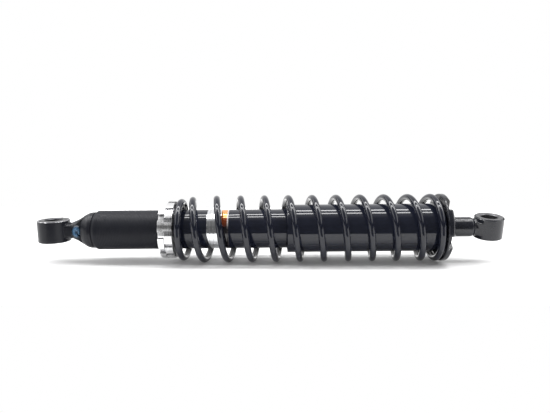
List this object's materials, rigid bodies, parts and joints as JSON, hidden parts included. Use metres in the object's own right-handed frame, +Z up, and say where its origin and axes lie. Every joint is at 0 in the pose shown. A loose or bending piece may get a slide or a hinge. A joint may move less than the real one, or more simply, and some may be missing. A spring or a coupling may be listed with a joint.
{
  "type": "rear shock absorber",
  "caption": "Gas-charged motorcycle rear shock absorber with a coil spring, threaded preload rings, a dust cover and a mounting eye at each end.",
  "frame": {"origin": "centre of the upper eye, on the axis of its bore", "axes": "+X along the shock towards the lower eye on the rod, +Z up along the bore of the upper eye as the shock lies, -Y is the side with the gas port"},
  "size_m": [0.4628, 0.0668, 0.0667],
  "materials": {
    "satin_black": "satin black powder coat",
    "gloss_black": "gloss black enamel",
    "black_film": "gloss black label film",
    "bush_steel": "dark phosphated steel, turned",
    "bright_zinc": "bright machined metal",
    "steel": "plain steel",
    "hard_chrome": "hard chrome, polished",
    "aluminium": "machined aluminium",
    "bronze": "sintered bronze",
    "rubber": "matt black rubber",
    "bump_foam": "yellow cellular urethane",
    "blue_sealant": "blue sealing compound",
    "silver_foil": "silver foil print",
    "orange_foil": "orange foil print",
    "white_print": "white printed line"
  },
  "bodies": {
    "damper_body": {"upper_eye": "satin_black", "upper_bush_top": "bush_steel", "upper_bush_bottom": "bush_steel", "gas_port_screw": "steel", "gas_port_seal": "blue_sealant", "damper_tube": "satin_black", "end_cap_o_ring": "rubber", "silver_label_band": "silver_foil", "orange_label_band": "orange_foil", "white_label_stripe": "white_print", "black_label_wrap": "black_film", "seal_head": "aluminium", "rod_guide_bush": "bronze", "oil_seal": "rubber", "rod_wiper": "rubber", "seal_head_o_ring": "rubber", "retaining_ring": "steel", "main_spring": "gloss_black"},
    "gas_divider": {"floating_piston": "aluminium", "floating_piston_o_ring": "rubber"},
    "spring_seat": {"lower_spring_seat": "satin_black", "dust_cover": "gloss_black", "bump_stop": "bump_foam", "bump_stop_washer": "steel"},
    "rod": {"piston_rod": "hard_chrome", "piston": "steel", "piston_band": "bronze", "compression_shims": "steel", "rebound_shims": "steel", "piston_nut": "steel", "top_out_bumper": "rubber", "lower_eye": "satin_black", "lower_bush_top": "bush_steel", "lower_bush_bottom": "bush_steel"},
    "spring_washer": {"thrust_washer": "steel"},
    "adjuster": {"preload_collar": "bright_zinc"},
    "locker": {"lock_ring": "bright_zinc"}
  },
  "joints": [
    {"name": "stroke", "type": "slide", "parent": "damper_body", "child": "spring_seat", "axis": [1, 0, 0], "range_m": [-0.075, 0], "stiffness_N_per_m": 6900, "springref_m": 0.004, "deforming": ["main_spring"]},
    {"name": "rod_turn", "type": "hinge", "parent": "spring_seat", "child": "rod", "pos_m": [0.4, 0, 0], "axis": [1, 0, 0], "continuous": true},
    {"name": "gas_divider_slide", "type": "slide", "parent": "damper_body", "child": "gas_divider", "axis": [1, 0, 0], "range_m": [-0.0116, 0]},
    {"name": "preload_travel", "type": "slide", "parent": "damper_body", "child": "spring_washer", "axis": [1, 0, 0], "range_m": [-0.015, 0]},
    {"name": "adjuster_turn", "type": "hinge", "parent": "spring_washer", "child": "adjuster", "pos_m": [0.119, 0, 0], "axis": [1, 0, 0], "range_deg": [-3601, 0]},
    {"name": "lock_ring_turn", "type": "hinge", "parent": "spring_washer", "child": "locker", "pos_m": [0.113, 0, 0], "axis": [1, 0, 0], "range_deg": [-3601, 0]}
  ],
  "couplings": [
    {"joint": "gas_divider_slide", "follows": "stroke", "ratio": 0.15259},
    {"joint": "adjuster_turn", "follows": "preload_travel", "rad_per_m": 4188.8},
    {"joint": "lock_ring_turn", "follows": "preload_travel", "rad_per_m": 4188.8}
  ]
}
